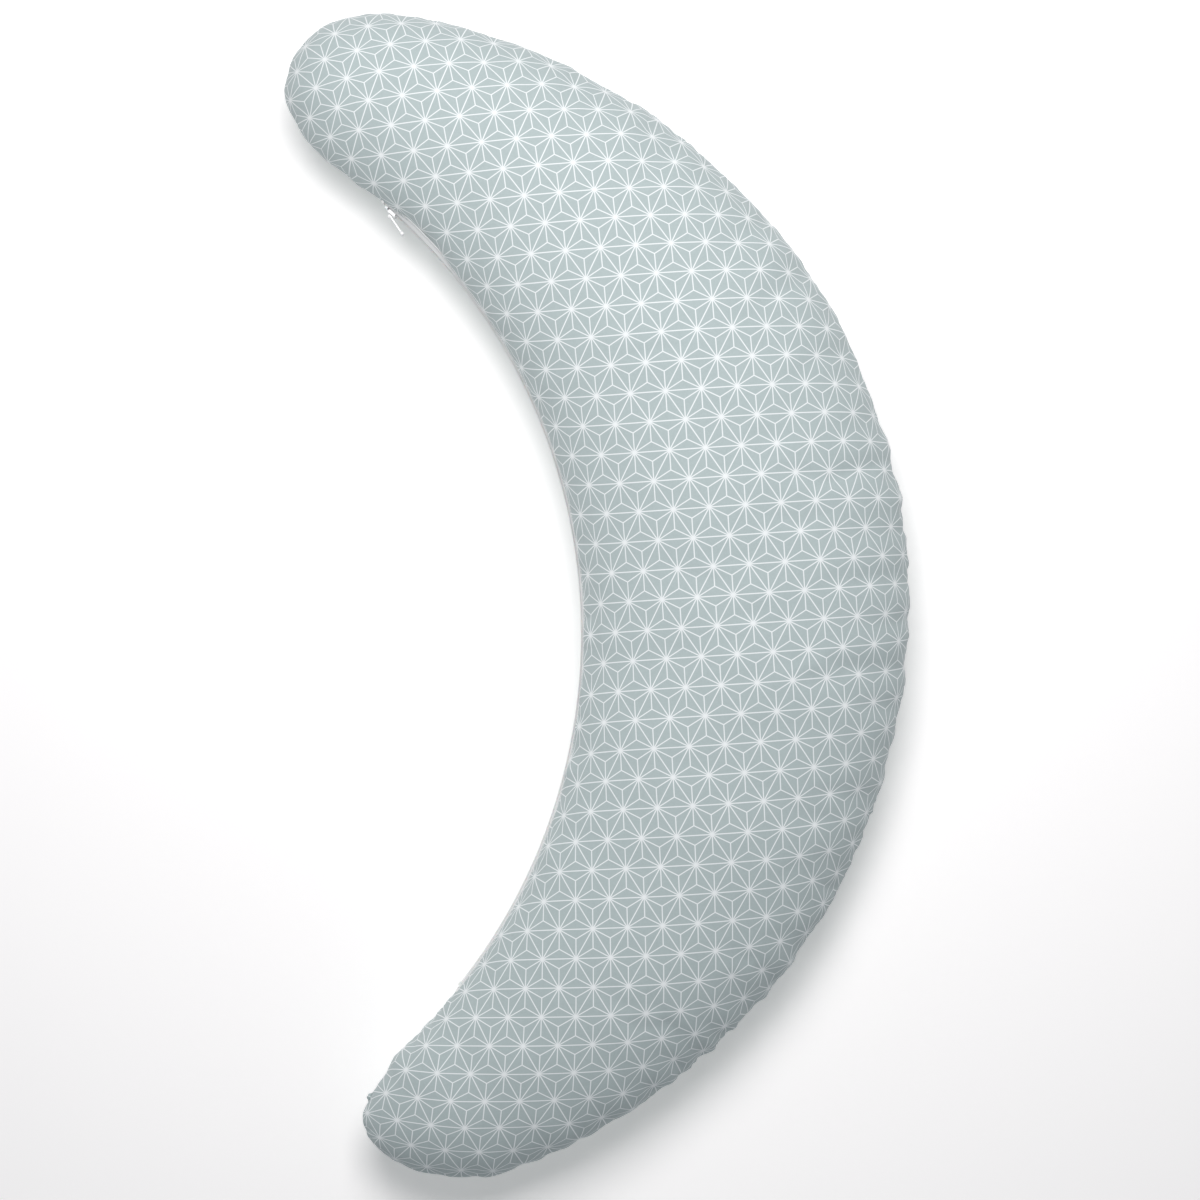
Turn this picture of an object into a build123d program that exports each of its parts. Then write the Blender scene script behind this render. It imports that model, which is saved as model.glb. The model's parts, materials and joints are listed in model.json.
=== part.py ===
"""Crescent nursing pillow: a zipped cotton cover round a sewn, fibre-filled inner pillow.

The pillow lies flat. Its two ends point along +Y and -Y, its back bulges towards +X, and the
bay that takes the user's waist opens towards -X. Z = 0 is the surface that it lies on.
Millimetres throughout.
"""

from build123d import *

import os
from math import cos, pi, radians, sin, sqrt

# ---- driving dimensions -------------------------------------------------------------------

OUTER_RADIUS = 599.0  # arc of the back edge
OUTER_CENTRE_X = -307.5
INNER_RADIUS = 564.8  # arc of the edge round the bay, which holds the zipper
INNER_CENTRE_X = -603.3
TIP_ANGLE = 72.8  # where each arm ends, about the middle of the two centres
TIP_ROUND_ANGLE = 9.4  # how much of that is the rounded end
TIP_BLUNTNESS = 2.3  # 2 is a round end, more is a squarer one
SEAM_HEIGHT = 76.0  # the seam between the two panels
HALF_HEIGHT = 82.0  # seam to crown, where the pillow is widest
FULLNESS = 0.46  # how slowly the height falls as the band gets narrower

COVER_CLOTH = 1.5  # cotton with its seams, as one thickness
LINER_INSET = 5.5  # the inner pillow sits loose in the cover
LINER_CLOTH = 1.0
FILLING_INSET = 8.0
SEAM_ALLOWANCE = 2.7  # turned edge inside the cover, from the cloth inwards
ALLOWANCE_CLOTH = 0.8

ZIPPER_END = 44.0  # half angle of the chain about the inner arc's centre
SLIDER_ANGLE = 42.9  # slider's middle when the zipper is closed
OPENING_END = 44.5
OPENING_HALF = 8.0  # half the gap between the two folded cloth edges
TAPE_RADIUS = 565.2  # face of the tape that carries the coil
TAPE_THICKNESS = 0.6
COIL_GAP = 0.5  # half the parting line, which the slider's web runs in
COIL_OUTER = 3.2  # edge of the coil, from the parting line
COIL_THICKNESS = 1.9

SLIDER_LENGTH = 12.0
SLIDER_HALF_WIDTH = 4.8
RUNNING_GAP = 0.35
WING = 1.4
WING_CORNER = 2.0
FLANGE = 0.9
WEB_LENGTH = 3.0
WEB_CLEARANCE = 0.15
LUG_RADIUS = 1.9
LUG_HALF_WIDTH = 0.9
PIN_HEIGHT = 1.5  # pin's middle above the front wing
PIN_RADIUS = 0.75
PIN_CLEARANCE = 0.08
PULL_LENGTH = 24.0
PULL_HEEL = 0.9  # how far the tab reaches behind its pin
PULL_HALF_WIDTH = 2.6
PULL_THICKNESS = 1.2
PULL_REST_ANGLE = 14.0  # the pull lifts this far off the chain
WINDOW_END = 2.4
WINDOW_HALF_WIDTH = 1.15
GRIP_LENGTH = 5.5
GRIP_HALF_WIDTH = 3.2
GRIP_THICKNESS = 2.4

CENTRE_X = (OUTER_CENTRE_X + INNER_CENTRE_X) / 2
CENTRE_SHIFT = (OUTER_CENTRE_X - INNER_CENTRE_X) / 2
SEAM_PLANE = Plane.XY.offset(SEAM_HEIGHT)


# ---- the pillow's form --------------------------------------------------------------------


def reach(angle, radius, shift):
    """Distance from the common centre to an arc whose own centre is `shift` along +X."""
    along = shift * cos(radians(angle))
    return along + sqrt(along**2 + radius**2 - shift**2)


def band(angle, inset=0.0):
    """Middle radius, half width and half height of the pillow's section at an angle."""
    outer = reach(angle, OUTER_RADIUS - inset, CENTRE_SHIFT)
    inner = reach(angle, INNER_RADIUS + inset, -CENTRE_SHIFT)
    middle = (outer + inner) / 2
    half = (outer - inner) / 2
    tip = TIP_ANGLE - inset / middle * 180 / pi
    round_start = TIP_ANGLE - TIP_ROUND_ANGLE
    into_tip = max(0.0, (abs(angle) - round_start) / (tip - round_start))
    rounding = (1 - into_tip**TIP_BLUNTNESS) ** (1 / TIP_BLUNTNESS)
    widest = (reach(0, OUTER_RADIUS, CENTRE_SHIFT) - reach(0, INNER_RADIUS, -CENTRE_SHIFT)) / 2
    height = HALF_HEIGHT * (half / widest) ** FULLNESS - inset
    return middle, half * rounding, height * rounding


def section_plane(angle, middle):
    """Upright plane across the band, square to the ray from the common centre."""
    outwards = (cos(radians(angle)), sin(radians(angle)), 0)
    onwards = (-sin(radians(angle)), cos(radians(angle)), 0)
    place = (CENTRE_X + middle * outwards[0], middle * outwards[1], SEAM_HEIGHT)
    return Plane(origin=place, x_dir=outwards, z_dir=onwards)


def section_angles(inset):
    """Angles of the loft's sections, closer together round each end."""
    tip_start = TIP_ANGLE - TIP_ROUND_ANGLE
    tip = TIP_ANGLE - inset / band(TIP_ANGLE - 1)[0] * 180 / pi
    arm = [tip_start * step / 6 for step in range(7)]
    end = [tip_start + (tip - tip_start) * part for part in (0.3, 0.55, 0.75, 0.89, 0.97, 0.998)]
    half = arm[1:] + end
    return [-angle for angle in reversed(half)] + [0] + half


def pillow_form(inset):
    """The stuffed crescent, drawn in by `inset` all round and flat where it rests."""
    with BuildPart() as form:
        for angle in section_angles(inset):
            middle, half_width, half_height = band(angle, inset)
            with BuildSketch(section_plane(angle, middle)):
                Ellipse(half_width, half_height)
        loft()
        split(bisect_by=Plane.XY.offset(inset), keep=Keep.TOP)
    return form.part


def between(outer, inner):
    """What is left of one form when a smaller one is taken out of it."""
    with BuildPart() as shell:
        add(outer)
        add(inner, mode=Mode.SUBTRACT)
    return shell.part


def slab(low, high):
    """Wide flat block between two heights, counted from the seam."""
    with BuildPart() as block:
        with BuildSketch(SEAM_PLANE.offset(low)):
            Rectangle(1400, 1400)
        extrude(amount=high - low)
    return block.part


def arc_strip(profile, start, end, axis_x=INNER_CENTRE_X):
    """Strip with a section of (radius, height) points, carried round an upright axis."""
    outwards = (cos(radians(start)), sin(radians(start)), 0)
    across = Plane(
        origin=(axis_x, 0, SEAM_HEIGHT),
        x_dir=outwards,
        z_dir=(sin(radians(start)), -cos(radians(start)), 0),
    )
    with BuildPart() as strip:
        with BuildSketch(across):
            with BuildLine():
                Polyline(*profile, close=True)
            make_face()
        revolve(axis=Axis((axis_x, 0, SEAM_HEIGHT), (0, 0, 1)), revolution_arc=end - start)
    return strip.part


def box_profile(inner, outer, low, high):
    """Corners of a rectangle in radius and height."""
    return [(inner, low), (outer, low), (outer, high), (inner, high)]


def mirrored(profile):
    """The same section on the other side of the seam."""
    return [(radius, -height) for radius, height in profile]


def write(part, name):
    """Label a finished piece and write its STEP file."""
    part.label = name
    export_step(part, f"parts/{name}.step")


os.makedirs("parts", exist_ok=True)

cover_outside = pillow_form(0)
cover_inside = pillow_form(COVER_CLOTH)
allowance_edge = pillow_form(COVER_CLOTH + SEAM_ALLOWANCE)
liner_outside = pillow_form(LINER_INSET)
liner_inside = pillow_form(LINER_INSET + LINER_CLOTH)

# ---- cover: two crescent panels of printed cotton, sewn round the edge and turned -----------

# The seam's straight stitch lies in a groove that it presses into the two turned edges.
STITCH = 0.4
STITCH_CLEARANCE = 0.15
stitch_inset = COVER_CLOTH + SEAM_ALLOWANCE / 2
groove_inset = stitch_inset - STITCH_CLEARANCE
groove_width = STITCH + 2 * STITCH_CLEARANCE
stitch_ring = between(pillow_form(stitch_inset), pillow_form(stitch_inset + STITCH))
groove_ring = between(pillow_form(groove_inset), pillow_form(groove_inset + groove_width))
stitch_level = slab(-STITCH / 2, STITCH / 2)
groove_level = slab(-groove_width / 2, groove_width / 2)
cover_shell = between(cover_outside, cover_inside)
edge_ring = between(cover_inside, allowance_edge)

opening_profile = box_profile(
    INNER_RADIUS - OPENING_HALF, INNER_RADIUS + LINER_INSET, -OPENING_HALF, OPENING_HALF
)
zipper_opening = arc_strip(opening_profile, -OPENING_END, OPENING_END)

with BuildPart() as cover_seam_thread:
    add(stitch_ring)
    add(stitch_level, mode=Mode.INTERSECT)
    add(zipper_opening, mode=Mode.SUBTRACT)
write(cover_seam_thread.part, "cover_seam_thread")

with BuildPart() as stitch_groove:
    add(groove_ring)
    add(groove_level, mode=Mode.INTERSECT)

for name, edge_level, keep in (
    ("cover_top_panel", slab(0, ALLOWANCE_CLOTH), Keep.TOP),
    ("cover_bottom_panel", slab(-ALLOWANCE_CLOTH, 0), Keep.BOTTOM),
):
    with BuildPart() as turned_edge:
        add(edge_ring)
        add(edge_level, mode=Mode.INTERSECT)
        add(stitch_groove.part, mode=Mode.SUBTRACT)
    with BuildPart() as cover_panel:
        add(cover_shell)
        split(bisect_by=SEAM_PLANE, keep=keep)
        add(turned_edge.part)
        add(zipper_opening, mode=Mode.SUBTRACT)
    write(cover_panel.part, name)

# The overlock thread binds the raw edges of the two turned edges.
OVERLOCK_GAP = 0.1
OVERLOCK_THICKNESS = 0.5
overlock_inset = COVER_CLOTH + SEAM_ALLOWANCE + OVERLOCK_GAP
overlock_ring = between(
    pillow_form(overlock_inset), pillow_form(overlock_inset + OVERLOCK_THICKNESS)
)
overlock_level = slab(-ALLOWANCE_CLOTH, ALLOWANCE_CLOTH)
with BuildPart() as cover_overlock_thread:
    add(overlock_ring)
    add(overlock_level, mode=Mode.INTERSECT)
    add(zipper_opening, mode=Mode.SUBTRACT)
write(cover_overlock_thread.part, "cover_overlock_thread")

# ---- zipper: coil chain on two woven tapes, let into the edge round the bay ------------------

# Each tape bends back from the chain and runs up inside the cover, where it is stitched down.
TAPE_EDGE = 1.1  # nearest the parting line, under the coil
TAPE_BEND = 5.2  # where the flat face round the coil ends
TAPE_RAMP = (3.1, 9.0)  # deeper by this much at this height
TAPE_TOP = (4.2, 14.0)
COIL_END = 0.5  # the coil stops short of the tape's end by this angle
TOPSTITCH_DEPTH = (0.3, 0.75)  # in the thickness of the cover's cloth
TOPSTITCH_HEIGHT = (10.2, 10.8)
TOPSTITCH_END = 0.2
tape_back = TAPE_RADIUS + TAPE_THICKNESS
tape_profile = [
    (TAPE_RADIUS, TAPE_EDGE),
    (TAPE_RADIUS, TAPE_BEND),
    (TAPE_RADIUS + TAPE_RAMP[0], TAPE_RAMP[1]),
    (TAPE_RADIUS + TAPE_TOP[0], TAPE_TOP[1]),
    (tape_back + TAPE_TOP[0], TAPE_TOP[1]),
    (tape_back + TAPE_RAMP[0], TAPE_RAMP[1]),
    (tape_back, TAPE_BEND),
    (tape_back, TAPE_EDGE),
]
coil_profile = box_profile(TAPE_RADIUS - COIL_THICKNESS, TAPE_RADIUS, COIL_GAP, COIL_OUTER)
topstitch_profile = box_profile(
    INNER_RADIUS + TOPSTITCH_DEPTH[0], INNER_RADIUS + TOPSTITCH_DEPTH[1], *TOPSTITCH_HEIGHT
)
coil_end = ZIPPER_END - COIL_END
topstitch_end = OPENING_END + TOPSTITCH_END
for side, fold in (("upper", list), ("lower", mirrored)):
    write(arc_strip(fold(tape_profile), -ZIPPER_END, ZIPPER_END), f"zipper_tape_{side}")
    write(arc_strip(fold(coil_profile), -coil_end, coil_end), f"zipper_coil_{side}")
    stitching = arc_strip(fold(topstitch_profile), -topstitch_end, topstitch_end)
    write(stitching, f"zipper_stitching_{side}")

# Crimped stops end the chain: one on each coil at the top, one across both at the bottom.
STOP_ANGLE = 0.3
STOP_PROUD = 0.5
STOP_FROM_END = 0.45
stop_inner = TAPE_RADIUS - COIL_THICKNESS - STOP_PROUD
stop_half = COIL_OUTER + STOP_PROUD
stop_start = ZIPPER_END - STOP_FROM_END
stop_profile = box_profile(stop_inner, TAPE_RADIUS, COIL_GAP, stop_half)
upper_stop = arc_strip(stop_profile, stop_start, stop_start + STOP_ANGLE)
lower_stop = arc_strip(mirrored(stop_profile), stop_start, stop_start + STOP_ANGLE)
with BuildPart() as zipper_top_stops:
    add(upper_stop)
    add(lower_stop)
write(zipper_top_stops.part, "zipper_top_stops")

bottom_profile = box_profile(stop_inner, TAPE_RADIUS, -stop_half, stop_half)
zipper_bottom_stop = arc_strip(bottom_profile, -stop_start - STOP_ANGLE, -stop_start)
write(zipper_bottom_stop, "zipper_bottom_stop")

# A bar tack closes the opening beyond each end of the tapes.
TACK_THICKNESS = 1.4
TACK_ANGLE = 0.3
TACK_CLEARANCE = 0.1
TACK_FROM_END = 0.05
tack_half = OPENING_HALF - TACK_CLEARANCE
tack_inner = TAPE_RADIUS - 2 * TACK_CLEARANCE
tack_outer = tack_inner + TACK_THICKNESS
tack_start = OPENING_END - TACK_FROM_END - TACK_ANGLE
tack_profile = box_profile(tack_inner, tack_outer, -tack_half, tack_half)
top_tack = arc_strip(tack_profile, tack_start, tack_start + TACK_ANGLE)
bottom_tack = arc_strip(tack_profile, -tack_start - TACK_ANGLE, -tack_start)
with BuildPart() as zipper_bar_tacks:
    add(top_tack)
    add(bottom_tack)
write(zipper_bar_tacks.part, "zipper_bar_tacks")

# ---- care label: blank satin strip, sewn in by the zipper and lying inside the cover --------

LABEL_THICKNESS = 0.3
LABEL_NEAR = (6.6, -16.0)  # depth behind the cover's edge, height from the seam
LABEL_FAR = (14.8, -30.0)
LABEL_ANGLES = (-20.0, -17.5)
label_near = INNER_RADIUS + LABEL_NEAR[0]
label_far = INNER_RADIUS + LABEL_FAR[0]
label_profile = [
    (label_near, LABEL_NEAR[1]),
    (label_far, LABEL_FAR[1]),
    (label_far + LABEL_THICKNESS, LABEL_FAR[1]),
    (label_near + LABEL_THICKNESS, LABEL_NEAR[1]),
]
write(arc_strip(label_profile, *LABEL_ANGLES), "care_label")

# ---- inner pillow: sewn liner round a loose fibre filling -----------------------------------

liner_shell = between(liner_outside, liner_inside)
for name, keep in (("liner_top_panel", Keep.TOP), ("liner_bottom_panel", Keep.BOTTOM)):
    with BuildPart() as liner_panel:
        add(liner_shell)
        split(bisect_by=SEAM_PLANE, keep=keep)
    write(liner_panel.part, name)

LINER_STITCH_GAP = 0.2
liner_stitch_inset = LINER_INSET + LINER_CLOTH + LINER_STITCH_GAP
liner_stitch_ring = between(
    pillow_form(liner_stitch_inset), pillow_form(liner_stitch_inset + STITCH)
)
with BuildPart() as liner_seam_thread:
    add(liner_stitch_ring)
    add(stitch_level, mode=Mode.INTERSECT)
write(liner_seam_thread.part, "liner_seam_thread")

# The liner is filled through a gap in its back edge, then machined shut from outside.
CLOSING_ANGLE = 7.0
CLOSING_GAP = 0.15
closing_radius = OUTER_RADIUS - LINER_INSET + CLOSING_GAP
closing_profile = box_profile(closing_radius, closing_radius + STITCH, -2 * STITCH, 2 * STITCH)
closing_stitch = arc_strip(closing_profile, -CLOSING_ANGLE, CLOSING_ANGLE, OUTER_CENTRE_X)
write(closing_stitch, "liner_closing_stitch")

write(pillow_form(FILLING_INSET), "filling")

# ---- slider: two wings round the chain, joined by a web, with a lug that holds the pull -----

towards_top = (-sin(radians(SLIDER_ANGLE)), cos(radians(SLIDER_ANGLE)), 0)
towards_bay = (-cos(radians(SLIDER_ANGLE)), -sin(radians(SLIDER_ANGLE)), 0)


def at_slider(distance):
    """Point at the slider's middle, this far from the tape's face towards the bay."""
    radius = TAPE_RADIUS - distance
    return (
        INNER_CENTRE_X - radius * towards_bay[0],
        -radius * towards_bay[1],
        SEAM_HEIGHT,
    )


# Seen from the bay: X runs along the chain to its top and the wings lie parallel to the tape.
wing_plane = Plane(origin=at_slider(0), x_dir=towards_top, z_dir=towards_bay)
front_wing = COIL_THICKNESS + RUNNING_GAP
back_wing = -TAPE_THICKNESS - RUNNING_GAP - WING
with BuildPart() as slider_body:
    for face in (front_wing, back_wing):
        with BuildSketch(wing_plane.offset(face)):
            RectangleRounded(SLIDER_LENGTH, 2 * SLIDER_HALF_WIDTH, WING_CORNER)
        extrude(amount=WING)
    with BuildSketch(wing_plane.offset(RUNNING_GAP)):
        with GridLocations(0, 2 * SLIDER_HALF_WIDTH - FLANGE, 1, 2):
            Rectangle(SLIDER_LENGTH - 2 * WING_CORNER, FLANGE)
    extrude(amount=front_wing)
    with BuildSketch(wing_plane.offset(back_wing + WING / 2)):
        with Locations((SLIDER_LENGTH / 2 - WING_CORNER, 0)):
            Rectangle(WEB_LENGTH, 2 * (COIL_GAP - WEB_CLEARANCE))
    extrude(amount=front_wing - back_wing)
write(slider_body.part, "slider_body")

wing_face = front_wing + WING
pin_plane = Plane(origin=at_slider(wing_face + PIN_HEIGHT), x_dir=towards_top, z_dir=(0, 0, 1))
with BuildPart() as slider_crown:
    with BuildSketch(pin_plane.offset(-LUG_HALF_WIDTH)):
        Circle(LUG_RADIUS)
        with Locations((0, -PIN_HEIGHT / 2)):
            Rectangle(2 * LUG_RADIUS, PIN_HEIGHT)
        with Locations((0, -PIN_HEIGHT - LUG_RADIUS)):
            Rectangle(2 * LUG_RADIUS, 2 * LUG_RADIUS, mode=Mode.SUBTRACT)
        Circle(PIN_RADIUS + PIN_CLEARANCE, mode=Mode.SUBTRACT)
    extrude(amount=2 * LUG_HALF_WIDTH)
write(slider_crown.part, "slider_crown")

# ---- pull: flat tab with a window round the lug, a cross pin through it and a thick grip ----

lift = radians(PULL_REST_ANGLE)
along_pull = tuple(sin(lift) * bay - cos(lift) * top for bay, top in zip(towards_bay, towards_top))
pull_plane = Plane(
    origin=pin_plane.origin,
    x_dir=along_pull,
    z_dir=(along_pull[1], -along_pull[0], 0),
)
with BuildPart() as pull_tab:
    with BuildSketch(pull_plane.offset(-PULL_THICKNESS / 2)):
        with Locations(((PULL_LENGTH - PULL_HEEL) / 2, 0)):
            RectangleRounded(PULL_LENGTH + PULL_HEEL, 2 * PULL_HALF_WIDTH, PULL_HEEL / 2)
        with Locations(((WINDOW_END - PULL_HEEL) / 2, 0)):
            Rectangle(WINDOW_END + PULL_HEEL, 2 * WINDOW_HALF_WIDTH, mode=Mode.SUBTRACT)
    extrude(amount=PULL_THICKNESS)
    with BuildSketch(pin_plane.offset(-WINDOW_HALF_WIDTH - PIN_RADIUS)):
        Circle(PIN_RADIUS)
    extrude(amount=2 * (WINDOW_HALF_WIDTH + PIN_RADIUS))
    with BuildSketch(pull_plane.offset(-GRIP_THICKNESS / 2)):
        with Locations((PULL_LENGTH - GRIP_LENGTH / 2, 0)):
            RectangleRounded(GRIP_LENGTH, 2 * GRIP_HALF_WIDTH, GRIP_LENGTH / 3)
    extrude(amount=GRIP_THICKNESS)
write(pull_tab.part, "pull_tab")
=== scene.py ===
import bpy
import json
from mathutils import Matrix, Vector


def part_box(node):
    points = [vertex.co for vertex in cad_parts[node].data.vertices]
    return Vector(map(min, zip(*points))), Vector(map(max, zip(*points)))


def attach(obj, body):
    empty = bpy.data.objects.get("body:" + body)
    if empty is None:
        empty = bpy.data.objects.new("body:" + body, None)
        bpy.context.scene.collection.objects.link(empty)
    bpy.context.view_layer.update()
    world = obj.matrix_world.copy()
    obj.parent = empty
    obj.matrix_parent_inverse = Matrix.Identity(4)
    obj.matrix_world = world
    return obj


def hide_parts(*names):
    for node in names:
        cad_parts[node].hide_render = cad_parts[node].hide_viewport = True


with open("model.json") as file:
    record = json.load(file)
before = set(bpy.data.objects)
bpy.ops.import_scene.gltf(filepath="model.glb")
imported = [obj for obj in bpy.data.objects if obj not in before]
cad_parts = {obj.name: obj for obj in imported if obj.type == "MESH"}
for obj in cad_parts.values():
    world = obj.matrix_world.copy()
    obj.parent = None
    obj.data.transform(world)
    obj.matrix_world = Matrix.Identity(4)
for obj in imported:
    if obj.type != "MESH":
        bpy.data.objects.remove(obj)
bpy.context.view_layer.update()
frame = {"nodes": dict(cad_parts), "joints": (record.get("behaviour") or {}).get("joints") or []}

import json
from math import acos, atan2, cos, degrees, hypot, pi, radians, sin, sqrt

import bpy
import numpy as np
from mathutils import Vector, kdtree, noise

# ---- Studio ---------------------------------------------------------------------------------
# A pale floor under the pillow, one broad soft lamp above its far arm, and a dim even sky.
# The camera looks straight down. It is turned so that the crescent's axis tips up to the right.
MM = 0.001
seam_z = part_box("cover_top_panel")[0].z
VIEW_WIDTH = 1.2
CAMERA_DISTANCE = 2.6
CAMERA_TURN = radians(-5.39)
VIEW_CENTRE = (-0.0201, -0.0209)
SENSOR = 36.0
LAMP_AIM = (0.05, 0, 0.05)


def hex_colour(code):
    """Linear RGBA from an sRGB hex value."""
    parts = [int(code[i : i + 2], 16) / 255 for i in (1, 3, 5)]
    linear = [c / 12.92 if c <= 0.04045 else ((c + 0.055) / 1.055) ** 2.4 for c in parts]
    return (*linear, 1.0)


def add_node(tree, kind, settings=None, links=None, **attributes):
    """Add a node, set its attributes and input values, and link inputs to other sockets."""
    made = tree.nodes.new(kind)
    for key, value in attributes.items():
        setattr(made, key, value)
    for key, value in (settings or {}).items():
        made.inputs[key].default_value = value
    for key, source in (links or {}).items():
        tree.links.new(source, made.inputs[key])
    return made


def new_material(name, roughness, **shader_settings):
    """A material with one shader, and its tree."""
    material = bpy.data.materials.new(name)
    material.use_nodes = True
    tree = material.node_tree
    shader = tree.nodes["Principled BSDF"]
    shader.inputs["Roughness"].default_value = roughness
    for key, value in shader_settings.items():
        shader.inputs[key.replace("_", " ")].default_value = value
    return material, tree, shader


def object_texture(tree, kind, settings, **attributes):
    """A texture laid on by the object's own coordinates."""
    place = add_node(tree, "ShaderNodeTexCoord").outputs["Object"]
    return add_node(tree, kind, settings, {"Vector": place}, **attributes).outputs[0]


def bump(tree, shader, height, strength, distance):
    """Let a height roughen the surface."""
    settings = {"Strength": strength, "Distance": distance}
    made = add_node(tree, "ShaderNodeBump", settings, {"Height": height})
    tree.links.new(made.outputs[0], shader.inputs["Normal"])


def blend(tree, first, second, factor):
    """Two colours mixed by a socket's value."""
    colours = {"A": hex_colour(first), "B": hex_colour(second)}
    mix = add_node(tree, "ShaderNodeMix", colours, {"Factor": factor}, data_type="RGBA")
    return mix.outputs["Result"]


def mesh_object(name, verts, faces, material=None):
    """A mesh object at the origin."""
    mesh = bpy.data.meshes.new(name)
    mesh.from_pydata([tuple(v) for v in verts], [], faces)
    mesh.update()
    made = bpy.data.objects.new(name, mesh)
    bpy.context.scene.collection.objects.link(made)
    if material:
        mesh.materials.append(material)
    return made


scene = bpy.context.scene
scene.view_settings.view_transform = "Standard"
camera_data = bpy.data.cameras.new("camera")
camera_data.sensor_width = SENSOR
camera_data.lens = SENSOR * CAMERA_DISTANCE / VIEW_WIDTH
camera = bpy.data.objects.new("camera", camera_data)
camera.location = (*VIEW_CENTRE, seam_z + CAMERA_DISTANCE)
camera.rotation_euler = (0, 0, CAMERA_TURN)
scene.collection.objects.link(camera)
scene.camera = camera


def soft_lamp(name, place, size, power, colour):
    """A square lamp that faces a point near the pillow's middle."""
    data = bpy.data.lights.new(name, "AREA")
    data.size = size
    data.energy = power
    data.color = hex_colour(colour)[:3]
    made = bpy.data.objects.new(name, data)
    made.location = place
    made.rotation_euler = (Vector(LAMP_AIM) - Vector(place)).to_track_quat("-Z", "Y").to_euler()
    made.visible_camera = False
    scene.collection.objects.link(made)


soft_lamp("key_lamp", place=(0.0, 0.75, 1.9), size=1.0, power=34, colour="#fffbfb")
world = bpy.data.worlds.new("studio")
world.use_nodes = True
sky = world.node_tree.nodes["Background"]
sky.inputs["Color"].default_value = hex_colour("#eaf0f9")
sky.inputs["Strength"].default_value = 0.26
scene.world = world

opal_acrylic, tree, shader = new_material("opal_acrylic", 0.9, Base_Color=hex_colour("#fdfdfd"))
shader.inputs["Emission Color"].default_value = hex_colour("#fcfaf4")
shader.inputs["Emission Strength"].default_value = 0.22  # a light table, lit a little from below
grain = add_node(tree, "ShaderNodeTexNoise", {"Scale": 900.0})
bump(tree, shader, grain.outputs[0], strength=0.05, distance=0.0002)
FLOOR_HALF = 6.0
corners = [(-FLOOR_HALF, -FLOOR_HALF, 0), (FLOOR_HALF, -FLOOR_HALF, 0)]
corners += [(FLOOR_HALF, FLOOR_HALF, 0), (-FLOOR_HALF, FLOOR_HALF, 0)]
floor = mesh_object("floor", corners, [(0, 1, 2, 3)], opal_acrylic)

# ---- Cover ----------------------------------------------------------------------------------
# Two crescent panels of printed plain-weave cotton, sewn round the edge, turned and stuffed.
# The cloth is cut longer than its seam, so it gathers there. The bay's edge is left open for
# the zipper, with both panels folded back along it.
slider_joint = next(j for j in frame["joints"] if j["name"] == "slider_travel")
BAY_X = slider_joint["pos_m"][0]  # centre of the arc round the bay
BAY_RADIUS = 0.5648
BACK_RADIUS = 0.599
BACK_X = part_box("cover_top_panel")[1].x - BACK_RADIUS
CENTRE_X = (BAY_X + BACK_X) / 2
CENTRE_SHIFT = (BACK_X - BAY_X) / 2
TIP_START = 63.4
TIP_END = {1: 71.9, -1: 73.6}  # the arm at +Y is a little shorter
TIP_BLUNTNESS = 2.3
TIP_SKEW = {1: 0.06, -1: 0.22}  # each tip is fuller on the side of the bay
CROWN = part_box("cover_top_panel")[1].z - seam_z
FULLNESS = 0.46
BACK_INSET = 2.5 * MM  # the seam is drawn in behind the gathers
ZIPPER_END = 44.5
FOLD_HEIGHT = 8 * MM
FOLD_TAPER = 2.2  # degrees over which the folded edges close at each end
ARM_STEPS = 204
TIP_STEPS = 16
ACROSS_STEPS = 60


def reach(angle, radius, shift):
    """Distance from the common centre to an arc whose centre is shifted along +X."""
    along = shift * cos(radians(angle))
    return along + sqrt(along**2 + radius**2 - shift**2)


def band(angle):
    """Middle radius, half width and crown height of the band, before the tips are rounded."""
    back = reach(angle, BACK_RADIUS - BACK_INSET, CENTRE_SHIFT)
    bay = reach(angle, BAY_RADIUS, -CENTRE_SHIFT)
    half = (back - bay) / 2
    return (back + bay) / 2, half, CROWN * (half / band_half) ** FULLNESS


band_half = (BACK_RADIUS + BACK_X - BAY_X - BAY_RADIUS) / 2
QUARTER_STEPS = 200
SECTION_ASPECT = 2  # half width to height, near enough for sharing out the cloth
quarter = np.linspace(0, pi / 2, QUARTER_STEPS)
quarter_steps = np.hypot(np.diff(SECTION_ASPECT * np.sin(quarter)), np.diff(np.cos(quarter)))
girth = np.concatenate([[0], np.cumsum(quarter_steps)])


def girth_angle(share):
    """Angle round the section at which a share of the cloth from crown to seam is used."""
    return np.interp(share, girth / girth[-1], quarter)


def quarter_length(half, height):
    """Cloth from the crown to the seam, over a quarter of an ellipse."""
    return pi / 4 * (3 * (half + height) - sqrt((3 * half + height) * (half + 3 * height)))


def on_ray(angle, radius):
    """Plan position at an angle and a distance from the common centre."""
    return np.array([CENTRE_X + radius * cos(radians(angle)), radius * sin(radians(angle))])


# The cloth's own straight cut is bent into the crescent, so the print turns a little at the tips.
PRINT_TURN = -1.6
TIP_PRINT_TURN = 9.5
TIP_TURN_ANGLE = 70  # where the tips' own turn is reached
TURN_LIMIT = 80
STEPS_PER_DEGREE = 10
turn_steps = np.linspace(-TURN_LIMIT, TURN_LIMIT, 2 * TURN_LIMIT * STEPS_PER_DEGREE + 1)


def cloth_turn(angle):
    """How far stuffing has turned the cloth at an angle along the crescent, in radians."""
    return radians(PRINT_TURN) + radians(TIP_PRINT_TURN) * (angle / TIP_TURN_ANGLE) ** 3


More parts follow.
